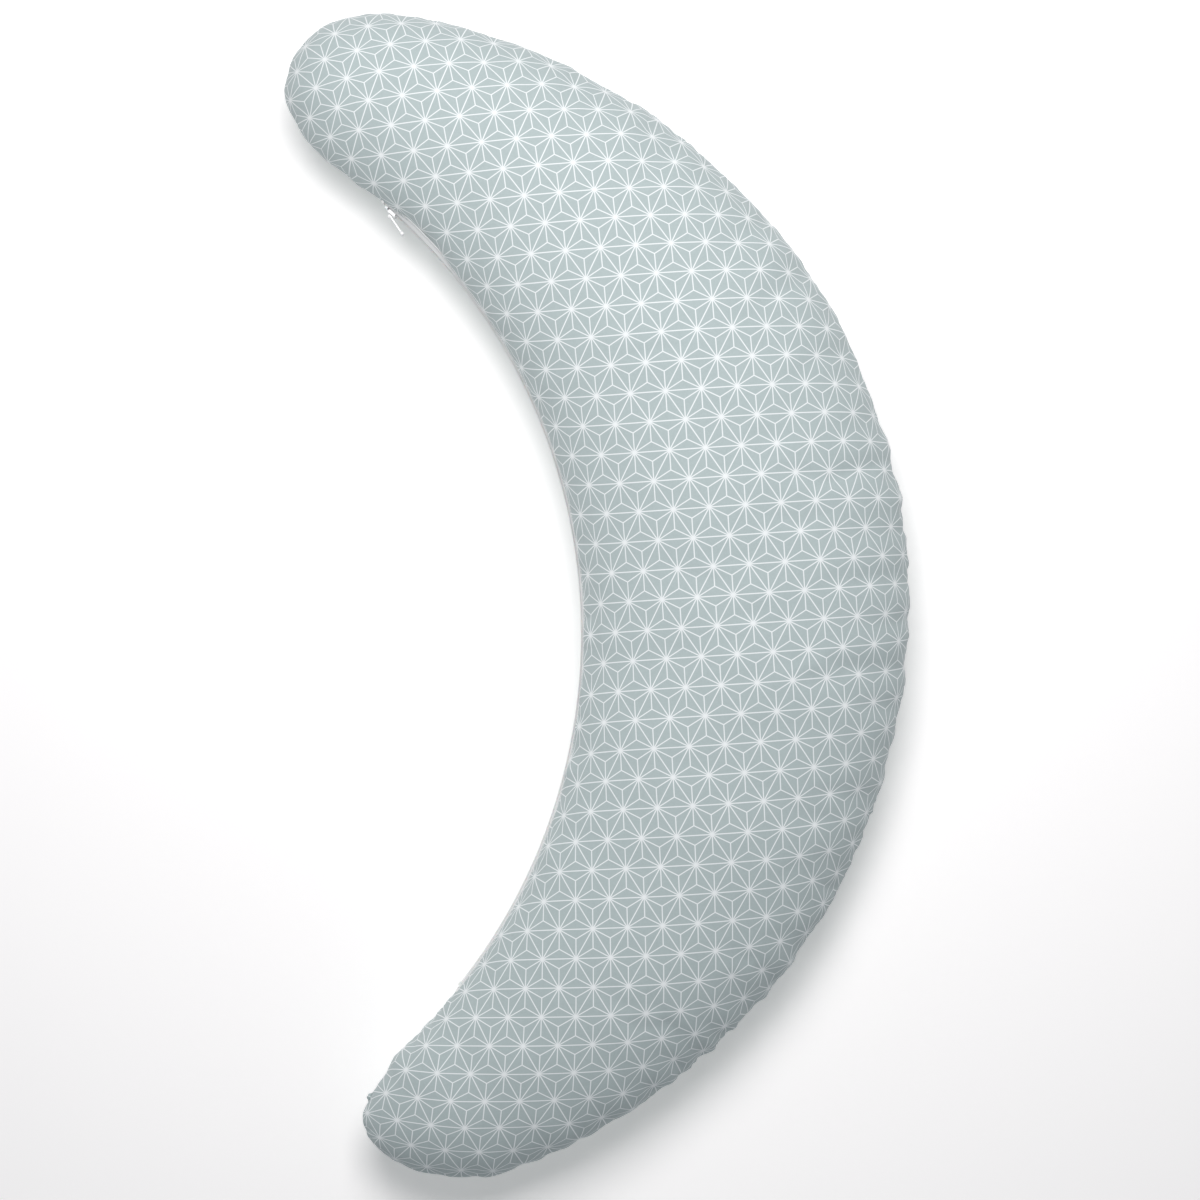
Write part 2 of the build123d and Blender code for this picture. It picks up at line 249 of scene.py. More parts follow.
def turned_back(vector, angle):
    """A plan direction as it lay on the flat cloth."""
    turn = cloth_turn(angle)
    x, y = vector
    return np.array([x * cos(turn) + y * sin(turn), y * cos(turn) - x * sin(turn)])


middle_line = np.array([on_ray(angle, band(angle)[0]) for angle in turn_steps])
line_steps = np.diff(middle_line, axis=0)
flat_steps = [turned_back(step, angle) for step, angle in zip(line_steps, turn_steps)]
flat_line = np.concatenate([[middle_line[0]], middle_line[0] + np.cumsum(flat_steps, axis=0)])
at_middle = len(turn_steps) // 2
flat_line += middle_line[at_middle] - flat_line[at_middle]


def on_cloth(angle):
    """Flat place of the band's middle line at an angle."""
    return np.array([np.interp(angle, turn_steps, flat_line[:, axis]) for axis in (0, 1)])


def cover_point(along, across):
    """Place on the stuffed pillow above the seam, and place on the flat cloth.

    along runs from -1 to 1 over the arm and on to -2 and 2 over the rounded tips; across runs
    from -1, the bay, to 1, the back.
    """
    side = 1 if along >= 0 else -1
    into_tip = max(0.0, abs(along) - 1)
    arm_angle = side * TIP_START * min(abs(along), 1)
    tip_angle = TIP_END[side] - TIP_START
    ahead = into_tip * sqrt(1 - across**2 / 2)
    beside = across * sqrt(1 - into_tip**2 / 2)
    out = min(hypot(ahead, beside), 1.0)
    heading = atan2(ahead, beside)
    c, s = abs(cos(heading)), abs(sin(heading))
    square = (c**TIP_BLUNTNESS + s**TIP_BLUNTNESS) ** (-1 / TIP_BLUNTNESS)
    lean = girth_angle(out)
    reach_out = sin(lean) * (1 + (square - 1) * out**2)
    angle = arm_angle + side * tip_angle * reach_out * sin(heading)
    angle -= side * tip_angle * TIP_SKEW[side] * beside * into_tip
    middle, half, height = band(angle)
    radius = middle + half * reach_out * cos(heading)
    x, y = on_ray(angle, radius)
    length = quarter_length(half, height)
    onwards = quarter_length(radians(tip_angle) * middle, height)
    ray = turned_back((cos(radians(arm_angle)), sin(radians(arm_angle))), arm_angle)
    ahead_way = turned_back((-sin(radians(arm_angle)), cos(radians(arm_angle))), arm_angle)
    flat = on_cloth(arm_angle) + ray * out * cos(heading) * length
    flat = flat + ahead_way * side * out * sin(heading) * onwards
    return (x, y, height * cos(lean)), flat


def bay_angle(x, y):
    """Angle about the centre of the arc round the bay."""
    return degrees(atan2(y, x - BAY_X))


def fold_gap(x, y):
    """Half the gap between the two folded edges at the zipper, closing at each end."""
    left = min(1.0, max(0.0, (ZIPPER_END - abs(bay_angle(x, y))) / FOLD_TAPER))
    return FOLD_HEIGHT * left**0.5


along_steps = [-2 + i / TIP_STEPS for i in range(TIP_STEPS)]
along_steps += [-1 + 2 * i / ARM_STEPS for i in range(ARM_STEPS + 1)]
along_steps += [1 + (i + 1) / TIP_STEPS for i in range(TIP_STEPS)]
across_steps = [-1 + 2 * j / ACROSS_STEPS for j in range(ACROSS_STEPS + 1)]
cover_verts, cover_flat, seam_verts = [], [], {}
panel_grids = {}
for panel, sign in (("top", 1), ("bottom", -1)):
    grid = []
    for i, along in enumerate(along_steps):
        row = []
        edge_x, edge_y = cover_point(along, -1)[0][:2]
        gap = fold_gap(edge_x, edge_y)
        crown_here = band(TIP_START * max(-1, min(1, along)))[2]
        bay_share = np.interp(acos(gap / crown_here), quarter, girth / girth[-1])
        for j, across in enumerate(across_steps):
            on_edge = i in (0, len(along_steps) - 1) or j in (0, ACROSS_STEPS)
            (x, y, z), flat = cover_point(along, across * bay_share if across < 0 else across)
            if on_edge and not (j == 0 and gap > 0):
                if (i, j) not in seam_verts:
                    seam_verts[i, j] = len(cover_verts)
                    cover_verts.append((x, y, seam_z))
                    cover_flat.append(flat)
                row.append(seam_verts[i, j])
                continue
            row.append(len(cover_verts))
            cover_verts.append((x, y, seam_z + sign * z))
            cover_flat.append(flat)
        grid.append(row)
    panel_grids[panel] = grid
cover_faces = []
for panel, flip in (("top", False), ("bottom", True)):
    grid = panel_grids[panel]
    for i in range(len(grid) - 1):
        for j in range(ACROSS_STEPS):
            quad = [grid[i][j], grid[i][j + 1], grid[i + 1][j + 1], grid[i + 1][j]]
            cover_faces.append(quad[::-1] if flip else quad)
top_grid, bottom_grid = panel_grids["top"], panel_grids["bottom"]
seam_loop = [row[0] for row in top_grid] + top_grid[-1][1:]
seam_loop += [row[-1] for row in reversed(top_grid[:-1])] + top_grid[0][-2:0:-1]
edge_verts = sorted(set(seam_loop) | {row[0] for row in bottom_grid})
shape = np.array(cover_verts)


def mesh_normals(verts, faces):
    """Unit normal at each vertex of a quad mesh."""
    quads = np.array(faces)
    first_diagonal = verts[quads[:, 2]] - verts[quads[:, 0]]
    second_diagonal = verts[quads[:, 3]] - verts[quads[:, 1]]
    across = np.cross(first_diagonal, second_diagonal)
    normals = np.zeros_like(verts)
    for corner in range(4):
        np.add.at(normals, quads[:, corner], across)
    return normals / np.maximum(np.linalg.norm(normals, axis=1, keepdims=True), 1e-12)


SLIDE_LIMIT = 4 * MM  # about half the distance between the loop's points
BILLOW_GAIN = 2.1
SWELL_GAIN = 1.6


def nearest_seam(points, loop):
    """For each point its nearest place on the seam's loop of points, and how far off that is."""
    tree_of_seam = kdtree.KDTree(len(loop))
    for k, place in enumerate(loop):
        tree_of_seam.insert(place, k)
    tree_of_seam.balance()
    nearest = np.array([tree_of_seam.find(point)[1] for point in points])
    ahead = np.roll(loop, -1, axis=0)[nearest] - np.roll(loop, 1, axis=0)[nearest]
    ahead /= np.linalg.norm(ahead, axis=1, keepdims=True)
    slide = np.sum((points - loop[nearest]) * ahead, axis=1)
    slide = np.clip(slide, -SLIDE_LIMIT, SLIDE_LIMIT)
    foot = loop[nearest] + ahead * slide[:, None]
    return foot, np.linalg.norm(points - foot, axis=1)


def billow(places, size, seed):
    """Rounded swellings with sharp valleys between them, from 0 to about 1."""
    offset = Vector((seed, seed * 1.7, seed * 0.6))
    raw = [abs(noise.noise(Vector(place) / size + offset)) for place in places]
    return np.array([min(1.0, BILLOW_GAIN * value) for value in raw])


def swell(places, size, seed):
    """Smooth seeded swelling, from about -1 to 1."""
    offset = Vector((seed, seed * 0.4, seed * 2.3))
    return np.array([SWELL_GAIN * noise.noise(Vector(place) / size + offset) for place in places])


# The gathers' pattern shifts a little as they run in. Their strength varies along the seam: it is
# less at the bay, where the zipper holds the cloth, and more towards the -Y arm.
DRIFT = 0.35
DRIFT_DEPTH = 30 * MM
MEAN_STRENGTH, STRENGTH_SWING, STRENGTH_SIZE = 0.62, 0.38, 0.16
BAY_GATHERS = 0.55
BAY_SIDE = 25 * MM  # this far past the bay's arc still counts as the bay's edge
FAR_ARM_GAIN = 0.5
LEAST_GAIN = 0.65
GAIN_SPAN = 0.7  # metres of Y over which the gain rises
FADE_POWER = 1.5


def gathers(points, loop, layers, seed):
    """Height of the gathers that run in from the seam, from (size, height, length) layers."""
    foot, off = nearest_seam(points, loop)
    drift = foot.copy()
    drift[:, 2] += np.sign(points[:, 2] - seam_z) * np.minimum(off, DRIFT_DEPTH) * DRIFT
    strength = MEAN_STRENGTH + STRENGTH_SWING * swell(foot, STRENGTH_SIZE, seed)
    strength *= np.where(foot[:, 0] < BAY_X + BAY_RADIUS + BAY_SIDE, BAY_GATHERS, 1.0)
    far_share = np.clip(0.5 - foot[:, 1] / GAIN_SPAN, 0.0, 1.0)
    strength *= LEAST_GAIN + FAR_ARM_GAIN * far_share
    height = np.zeros(len(points))
    for k, (size, rise, length) in enumerate(layers):
        fade = np.exp(-((off / length) ** FADE_POWER))
        height += rise * fade * (billow(drift, size, seed + 3.1 * k) - 0.5)
    return height * strength


# Broad gathers and the filling's soft lumps come first, then the cloth is let go under pressure,
# which rounds the gathers and lets the loose cloth near the seam find its own wrinkles.
BROAD_GATHERS = [(27 * MM, 7.0 * MM, 30 * MM), (50 * MM, 7.0 * MM, 55 * MM)]
FINE_GATHERS = [(13 * MM, 3.4 * MM, 20 * MM)]
LUMPS = [(85 * MM, 1.3 * MM, 5.5), (40 * MM, 0.6 * MM, 9.2)]  # size, height and seed
LUMP_FADE = 40 * MM
OPENING_GATHERS = 0.25
shape_at_seam = shape[seam_loop]
normals = mesh_normals(shape, cover_faces)
lumps = sum(height * swell(shape, size, seed) for size, height, seed in LUMPS)
_, seam_distance = nearest_seam(shape, shape_at_seam)
lumps *= np.clip(seam_distance / LUMP_FADE, 0, 1)
rise = gathers(shape, shape_at_seam, BROAD_GATHERS, 2.4) + lumps
in_opening = np.zeros(len(shape), dtype=bool)
in_opening[[v for v in edge_verts if v not in seam_verts.values()]] = True
rise[in_opening] *= OPENING_GATHERS
shape += normals * rise[:, None]
cover = mesh_object("cover", shape, cover_faces)

PRESSURE = 4.0
EXCESS = -0.07  # cloth beyond the seam's own length
EXCESS_DEPTH = 60 * MM
CLOTH_FRAMES = 16
MOVE_CAP = 6 * MM
SMOOTHINGS = 30
held = cover.vertex_groups.new(name="held")
held.add(edge_verts, 1.0, "REPLACE")
excess = cover.vertex_groups.new(name="excess")
for v, off in enumerate(seam_distance):
    if off < EXCESS_DEPTH:
        excess.add([v], 1 - off / EXCESS_DEPTH, "REPLACE")
modifier = cover.modifiers.new("cloth", "CLOTH")
cloth = modifier.settings
cloth.quality = 4
cloth.mass = 0.15
cloth.tension_stiffness = cloth.compression_stiffness = 12
cloth.shear_stiffness = 4
cloth.bending_stiffness = 0.1
cloth.air_damping = 1.5
cloth.use_pressure = True
cloth.uniform_pressure_force = PRESSURE
cloth.vertex_group_mass = "held"
cloth.vertex_group_shrink = "excess"
cloth.shrink_min, cloth.shrink_max = 0.0, EXCESS
cloth.effector_weights.gravity = 0
modifier.collision_settings.use_collision = False
modifier.point_cache.frame_start, modifier.point_cache.frame_end = 1, CLOTH_FRAMES
for frame_number in range(1, CLOTH_FRAMES + 1):
    scene.frame_set(frame_number)
settled = cover.evaluated_get(bpy.context.evaluated_depsgraph_get()).data
moved = np.array([v.co[:] for v in settled.vertices]) - shape
cover.modifiers.clear()
scene.frame_set(1)
# Only the wrinkles are kept: the swelling as a whole would lose the pillow's measured form.
pairs = np.array([edge.vertices[:] for edge in cover.data.edges])
ends = np.concatenate([pairs, pairs[:, ::-1]])
count = np.bincount(ends[:, 0], minlength=len(shape))[:, None]
broad = moved.copy()
for _ in range(SMOOTHINGS):
    sums = [np.bincount(ends[:, 0], broad[ends[:, 1], k], len(shape)) for k in range(3)]
    total = np.stack(sums, axis=1)
    broad = 0.5 * broad + 0.5 * total / count
wrinkles = moved - broad
size = np.linalg.norm(wrinkles, axis=1, keepdims=True)
wrinkles *= np.minimum(1, MOVE_CAP / np.maximum(size, 1e-9))
wrinkles[edge_verts] = 0
shape += wrinkles

# The folded edge along the zipper turns in and up behind itself.
HEM = [(0.6 * MM, -0.3 * MM), (1.1 * MM, 1.6 * MM)]
hem_verts, hem_flat, hem_faces = list(map(tuple, shape)), list(cover_flat), []
for panel, grid, sign in (("top", top_grid, 1), ("bottom", bottom_grid, -1)):
    open_rows = [i for i, row in enumerate(grid) if row[0] not in seam_verts.values()]
    hems = {}
    for i in open_rows:
        x, y, z = shape[grid[i][0]]
        turn = radians(bay_angle(x, y))
        hems[i] = [grid[i][0]]
        for inwards, up in HEM:
            hems[i].append(len(hem_verts))
            hem_verts.append((x + inwards * cos(turn), y + inwards * sin(turn), z + sign * up))
            hem_flat.append(cover_flat[grid[i][0]])
    for i in open_rows[:-1]:
        for k in range(len(HEM)):
            quad = [hems[i][k + 1], hems[i][k], hems[i + 1][k], hems[i + 1][k + 1]]
            hem_faces.append(quad if sign > 0 else quad[::-1])
bpy.data.objects.remove(cover)
cover_faces += hem_faces
cover = mesh_object("cover", hem_verts, cover_faces)

# The print is laid on in the cloth's own flat coordinates, one unit to a star along and across.
STAR_SPACING = 34.93 * MM
ROW_SPACING = 28.83 * MM
FIRST_STAR = (109.7 * MM, -28.5 * MM)
laid_flat = (np.array(hem_flat) - FIRST_STAR) / (STAR_SPACING, ROW_SPACING)
uv = cover.data.uv_layers.new(name="UVMap")
corner_verts = np.array([loop.vertex_index for loop in cover.data.loops])
uv.data.foreach_set("uv", laid_flat[corner_verts].ravel())
subdivision = cover.modifiers.new("finer", "SUBSURF")
subdivision.levels = subdivision.render_levels = 1
subdivision.uv_smooth = "NONE"
finer = bpy.data.meshes.new_from_object(cover.evaluated_get(bpy.context.evaluated_depsgraph_get()))
cover.modifiers.clear()
cover.data = finer

FLOOR_BLEND = 5 * MM
REST_DEPTH = 12 * MM  # cloth about this near the floor is let down, so the lowest touches it
SEAM_VALLEY = 1.3 * MM
VALLEY_HALF = 3.5 * MM
ZIP_HEIGHT, ZIP_SIDE, ZIP_DEPTH = 12 * MM, 20 * MM, 8 * MM  # cloth held flat by the zipper
ZIP_MARGIN = 1  # degrees past the zipper's ends
ZIP_GATHERS = 0.1
places = np.array([v.co[:] for v in finer.vertices])
normals = np.array([v.normal[:] for v in finer.vertices])
shape_at_seam = places[seam_loop]
_, seam_distance = nearest_seam(places, shape_at_seam)
rise = gathers(places, shape_at_seam, FINE_GATHERS, 6.8)
rise -= SEAM_VALLEY * np.exp(-((seam_distance / VALLEY_HALF) ** 2))
near_zip = np.abs(places[:, 2] - seam_z) < ZIP_HEIGHT
near_zip &= places[:, 0] < BAY_X + BAY_RADIUS + ZIP_SIDE
bay_turn = np.arctan2(places[:, 1], places[:, 0] - BAY_X)
near_zip &= np.abs(np.degrees(bay_turn)) < ZIPPER_END + ZIP_MARGIN
near_zip &= np.hypot(places[:, 0] - BAY_X, places[:, 1]) < BAY_RADIUS + ZIP_DEPTH
rise[near_zip] *= ZIP_GATHERS
places += normals * rise[:, None]
# Below the slider the cloth is drawn back a little, so that more of the tape shows there.
DRAWN_BACK = 2.6 * MM
DRAWN_AT, DRAWN_SPAN = 38.5, 4.5
DRAWN_DEPTH = 16 * MM
bay_turn = np.arctan2(places[:, 1], places[:, 0] - BAY_X)
drawn = DRAWN_BACK * np.exp(-(((np.degrees(bay_turn) - DRAWN_AT) / DRAWN_SPAN) ** 2))
drawn *= np.exp(-((seam_distance / DRAWN_DEPTH) ** 2))
drawn[np.hypot(places[:, 0] - BAY_X, places[:, 1]) > BAY_RADIUS + 2 * DRAWN_DEPTH] = 0
places[:, 0] += drawn * np.cos(bay_turn)
places[:, 1] += drawn * np.sin(bay_turn)
heights = places[:, 2]
rested = (heights + np.sqrt(heights**2 + FLOOR_BLEND**2)) / 2
places[:, 2] = np.maximum(rested - rested.min() * np.exp(-rested / REST_DEPTH), 0)
finer.vertices.foreach_set("co", places.ravel())
finer.shade_smooth()
finer.update()


def calc(tree, operation, *values):
    """A math node's result from sockets and numbers."""
    made = tree.nodes.new("ShaderNodeMath")
    made.operation = operation
    for k, value in enumerate(values):
        if isinstance(value, (int, float)):
            made.inputs[k].default_value = value
        else:
            tree.links.new(value, made.inputs[k])
    return made.outputs[0]


# Plain-weave cotton, printed all over with a white lattice of stars on sage. Each star
# has six long rays, to its neighbours, and six short ones, to the middles of the triangles.
printed_cotton, tree, shader = new_material(
    "printed_cotton", 0.86, Sheen_Weight=0.25, Sheen_Roughness=0.5
)
LINE_HALF = 0.54 * MM
LINE_BLUR = 0.28 * MM
cloth_place = add_node(tree, "ShaderNodeUVMap", uv_map="UVMap")
split_place = add_node(tree, "ShaderNodeSeparateXYZ", links={"Vector": cloth_place.outputs[0]})
star_row = split_place.outputs[1]
half_row = calc(tree, "MULTIPLY", star_row, 0.5)
column = calc(tree, "SUBTRACT", split_place.outputs[0], half_row)
part_i, part_j = calc(tree, "FRACT", column), calc(tree, "FRACT", star_row)
third = calc(tree, "SUBTRACT", calc(tree, "SUBTRACT", 1.0, part_i), part_j)
upper = calc(tree, "LESS_THAN", third, 0.0)
shares = []
for value in (part_i, part_j):
    flipped = calc(tree, "SUBTRACT", 1.0, value)
    change = calc(tree, "SUBTRACT", flipped, value)
    shares.append(calc(tree, "ADD", value, calc(tree, "MULTIPLY", upper, change)))
shares.append(calc(tree, "ABSOLUTE", third))
low = calc(tree, "MINIMUM", calc(tree, "MINIMUM", shares[0], shares[1]), shares[2])
high = calc(tree, "MAXIMUM", calc(tree, "MAXIMUM", shares[0], shares[1]), shares[2])
middle_share = calc(tree, "SUBTRACT", calc(tree, "SUBTRACT", 1.0, low), high)
off_edge = calc(tree, "MULTIPLY", low, ROW_SPACING)
off_ray = calc(tree, "MULTIPLY", calc(tree, "SUBTRACT", middle_share, low), STAR_SPACING / 2)
off_line = calc(tree, "MINIMUM", off_edge, off_ray)
line_settings = {
    "From Min": LINE_HALF - LINE_BLUR,
    "From Max": LINE_HALF + LINE_BLUR,
    "To Min": 1.0,
    "To Max": 0.0,
}
on_line = add_node(
    tree, "ShaderNodeMapRange", line_settings, {"Value": off_line}, interpolation_type="SMOOTHSTEP"
)
blotches = object_texture(tree, "ShaderNodeTexNoise", {"Scale": 420.0, "Detail": 3.0})
ground = blend(tree, "#afbebd", "#bac8c8", blotches)
dyed = add_node(tree, "ShaderNodeMix", {"B": hex_colour("#f2f8f8")}, data_type="RGBA")
tree.links.new(on_line.outputs[0], dyed.inputs["Factor"])
tree.links.new(ground, dyed.inputs["A"])
tree.links.new(dyed.outputs["Result"], shader.inputs["Base Color"])
THREAD_PITCH = 0.45 * MM
warp_turns = calc(
    tree, "MULTIPLY", split_place.outputs[0], 2 * pi * STAR_SPACING / THREAD_PITCH
)
weft_turns = calc(tree, "MULTIPLY", star_row, 2 * pi * ROW_SPACING / THREAD_PITCH)
warp, weft = calc(tree, "SINE", warp_turns), calc(tree, "SINE", weft_turns)
weave = calc(tree, "MULTIPLY", warp, weft)
bump(tree, shader, weave, strength=0.35, distance=0.00008)
finer.materials.clear()
finer.materials.append(printed_cotton)

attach(cover, "pillow")
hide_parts("cover_top_panel", "cover_bottom_panel")

# ---- Inner pillow ---------------------------------------------------------------------------
# A plain white cotton liner sewn round the edge like the cover and a little smaller all round,
# round loose polyester fibre. It would show only where the cover is opened.
LINER_GAP = 8 * MM
FILLING_GAP = 12 * MM
LINER_LIFT = 3 * MM
INNER_STEP = 2  # every second row of the cover's grid
form = np.array(cover_verts)
form_normals = mesh_normals(form, [face for face in cover_faces if max(face) < len(form)])


def inner_form(name, gap, lift, material):
    """The stuffed form drawn in by a gap and closed behind the zipper."""
    drawn = form - form_normals * gap
    drawn[:, 2] = np.maximum(drawn[:, 2], lift)
    numbers, verts, faces = {}, [], []
    quads = []
    for grid, flip in ((top_grid, False), (bottom_grid, True)):
        for i in range(0, len(grid) - 1, INNER_STEP):
            this, onward = grid[i], grid[i + INNER_STEP]
            for j in range(0, ACROSS_STEPS, INNER_STEP):
                quad = [this[j], this[j + INNER_STEP], onward[j + INNER_STEP], onward[j]]
                quads.append(quad[::-1] if flip else quad)
    for i in range(0, len(top_grid) - 1, INNER_STEP):
        k = i + INNER_STEP
        quads.append([bottom_grid[i][0], top_grid[i][0], top_grid[k][0], bottom_grid[k][0]])
    for quad in quads:
        for v in quad:
            if v not in numbers:
                numbers[v] = len(verts)
                verts.append(drawn[v])
        face = list(dict.fromkeys(numbers[v] for v in quad))
        if len(face) > 2:
            faces.append(face)
    made = mesh_object(name, verts, faces, material)
    made.data.shade_smooth()
    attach(made, "pillow")
    return made


liner_cotton, tree, shader = new_material(
    "liner_cotton", 0.9, Base_Color=hex_colour("#f3f2ee"), Sheen_Weight=0.2
)
liner_weave = object_texture(tree, "ShaderNodeTexNoise", {"Scale": 1400.0})
bump(tree, shader, liner_weave, strength=0.3, distance=0.0001)
liner = inner_form("liner", LINER_GAP, LINER_LIFT, liner_cotton)
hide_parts("liner_top_panel", "liner_bottom_panel")

polyester_fibre, tree, shader = new_material(
    "polyester_fibre", 1.0, Base_Color=hex_colour("#f8f8f6"), Sheen_Weight=0.4
)
tangle = object_texture(tree, "ShaderNodeTexNoise", {"Scale": 260.0, "Detail": 6.0})
bump(tree, shader, tangle, strength=0.8, distance=0.001)
fibre = inner_form(
    "fibre_filling", FILLING_GAP, LINER_LIFT + FILLING_GAP - LINER_GAP, polyester_fibre
)
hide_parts("filling")

# ---- Sewing thread --------------------------------------------------------------------------
# Spun white polyester. Lockstitch seams join the panels of the cover and of the liner inside
# their turned edges, and three-thread overlock binds the cover's raw edges beside its seam.
sewing_thread, tree, shader = new_material(
    "sewing_thread", 0.6, Base_Color=hex_colour("#f2f3f1"), Sheen_Weight=0.3
)
twist_settings = {"Scale": 900.0, "Distortion": 2.0}
twist = object_texture(tree, "ShaderNodeTexWave", twist_settings, bands_direction="DIAGONAL")
bump(tree, shader, twist, strength=0.5, distance=0.00006)


def row_tree(name, measures):
    """Begin a node tree that sets one piece out along a line. Gives the tree and its inputs."""
    tree = bpy.data.node_groups.new(name, "GeometryNodeTree")
    tree.is_modifier = True
    sockets = tree.interface
    sockets.new_socket("Geometry", in_out="INPUT", socket_type="NodeSocketGeometry")
    for measure in measures:
        sockets.new_socket(measure, in_out="INPUT", socket_type="NodeSocketFloat")
    sockets.new_socket("Material", in_out="INPUT", socket_type="NodeSocketMaterial")
    sockets.new_socket("Geometry", in_out="OUTPUT", socket_type="NodeSocketGeometry")
    return tree, tree.nodes.new("NodeGroupInput").outputs


def halved(tree, value):
    """Half of a number socket."""
    made = add_node(tree, "ShaderNodeMath", {1: 0.5}, {0: value}, operation="MULTIPLY")
    return made.outputs[0]


def swept(tree, path, thickness, sides, capped):
    """A round wire or thread along a path."""
    section = add_node(tree, "GeometryNodeCurvePrimitiveCircle", {"Resolution": sides})
    tree.links.new(halved(tree, thickness), section.inputs["Radius"])
    links = {"Curve": path, "Profile Curve": section.outputs[0]}
    return add_node(tree, "GeometryNodeCurveToMesh", {"Fill Caps": capped}, links).outputs[0]


def set_out(tree, given, piece):
    """Finish the tree: the piece at every pitch along the line, turned to run along it."""
    as_curve = add_node(tree, "GeometryNodeMeshToCurve", links={"Mesh": given["Geometry"]})
    spacing = {"Curve": as_curve.outputs[0], "Length": given["Pitch"]}
    spaced = add_node(tree, "GeometryNodeResampleCurve", links=spacing, mode="LENGTH")
    heading = {"Vector": add_node(tree, "GeometryNodeInputTangent").outputs[0]}
    align = "FunctionNodeAlignRotationToVector"
    turned = add_node(tree, align, links=heading, axis="X", pivot_axis="Z")
    parts = {"Points": spaced.outputs[0], "Instance": piece, "Rotation": turned.outputs[0]}
    laid = add_node(tree, "GeometryNodeInstanceOnPoints", links=parts)
    real = add_node(tree, "GeometryNodeRealizeInstances", links={"Geometry": laid.outputs[0]})
    dressing = {"Geometry": real.outputs[0], "Material": given["Material"]}
    finished = add_node(tree, "GeometryNodeSetMaterial", links=dressing)
    tree.links.new(finished.outputs[0], tree.nodes.new("NodeGroupOutput").inputs[0])


# One stitch is a thread that bows up by its own thickness, flat or slanted.
stitching, given = row_tree("stitch_row", ("Pitch", "Length", "Thickness", "Slant"))
reach_of_stitch = {"X": halved(stitching, given["Length"]), "Z": halved(stitching, given["Slant"])}
stitch_end = add_node(stitching, "ShaderNodeCombineXYZ", links=reach_of_stitch).outputs[0]
stitch_start = add_node(
    stitching, "ShaderNodeVectorMath", {"Scale": -1.0}, {0: stitch_end}, operation="SCALE"
)
bow_top = add_node(stitching, "ShaderNodeCombineXYZ", links={"Y": given["Thickness"]})
bow = add_node(
    stitching,
    "GeometryNodeCurveQuadraticBezier",
    {"Resolution": 6},
    {"Start": stitch_start.outputs[0], "Middle": bow_top.outputs[0], "End": stitch_end},
)
one_stitch = swept(stitching, bow.outputs[0], given["Thickness"], sides=6, capped=True)
set_out(stitching, given, one_stitch)


def laid_along(tree, name, points, settings, material, closed=False):
    """Pieces set out by a node tree along an open or closed line of points, as one piece."""
    edges = [(k, k + 1) for k in range(len(points) - 1)]
    if closed:
        edges.append((len(points) - 1, 0))
    mesh = bpy.data.meshes.new(name)
    mesh.from_pydata([tuple(point) for point in points], edges, [])
    made = bpy.data.objects.new(name, mesh)
    scene.collection.objects.link(made)
    modifier = made.modifiers.new("laid_along", "NODES")
    modifier.node_group = tree
    values = {**settings, "Material": material}
    for item in tree.interface.items_tree:
        if item.item_type == "SOCKET" and item.in_out == "INPUT" and item.name in values:
            modifier[item.identifier] = values[item.name]
    made.update_tag()
    evaluated = made.evaluated_get(bpy.context.evaluated_depsgraph_get())
    built = bpy.data.meshes.new_from_object(evaluated)
    made.modifiers.clear()
    made.data = built
    built.materials.clear()
    built.materials.append(material)
    built.polygons.foreach_set("material_index", [0] * len(built.polygons))
    built.shade_smooth()
    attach(made, "pillow")
    return made


SEAM_STITCH = {"Pitch": 3.2 * MM, "Length": 2.7 * MM, "Thickness": 0.4 * MM, "Slant": 0.0}
OVERLOCK_STITCH = {"Pitch": 2.2 * MM, "Length": 1.4 * MM, "Thickness": 0.4 * MM, "Slant": 1.6 * MM}
SEAM_DEPTH = 4.5 * MM  # the stitches lie this far inside the sewn edge
OVERLOCK_DEPTH = 6.5 * MM
LINER_SEAM_DEPTH = 1.5 * MM
CLOSING_HALF_ANGLE = 7  # the machined closing, at the middle of the back
CLOSING_PROUD = 0.4 * MM
seam_normals = form_normals[seam_loop] * (1, 1, 0)
seam_normals /= np.linalg.norm(seam_normals, axis=1, keepdims=True)
sewn = [k for k, v in enumerate(seam_loop) if not in_opening[v]]
first_sewn = next(n for n, k in enumerate(sewn) if k - sewn[n - 1] > 1)
sewn = sewn[first_sewn:] + sewn[:first_sewn]
sewn_edge = places[[seam_loop[k] for k in sewn]]
sewn_normals = seam_normals[sewn]


def sewn_along(name, line, stitch, cad_name, closed=False):
    """A row of white stitches in place of a CAD thread."""
    made = laid_along(stitching, name, line, stitch, sewing_thread, closed)
    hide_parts(cad_name)


sewn_line = sewn_edge - sewn_normals * SEAM_DEPTH
bound_line = sewn_edge - sewn_normals * OVERLOCK_DEPTH
sewn_along("cover_seam_stitches", sewn_line, SEAM_STITCH, "cover_seam_thread")
sewn_along("cover_overlock_stitches", bound_line, OVERLOCK_STITCH, "cover_overlock_thread")
liner_edge = form[seam_loop] * (1, 1, 0) + (0, 0, seam_z)
liner_edge = liner_edge - seam_normals * (LINER_GAP + LINER_SEAM_DEPTH)
sewn_along("liner_seam_stitches", liner_edge, SEAM_STITCH, "liner_seam_thread", closed=True)
closing_half = BACK_RADIUS * sin(radians(CLOSING_HALF_ANGLE))
at_back = [k for k in range(len(seam_loop)) if seam_normals[k][0] > 0.5]
closing = [k for k in at_back if abs(form[seam_loop[k]][1]) < closing_half]
closing_line = form[[seam_loop[k] for k in closing]]
closing_line = closing_line - seam_normals[closing] * (LINER_GAP - CLOSING_PROUD)
sewn_along("liner_closing_stitches", closing_line, SEAM_STITCH, "liner_closing_stitch")

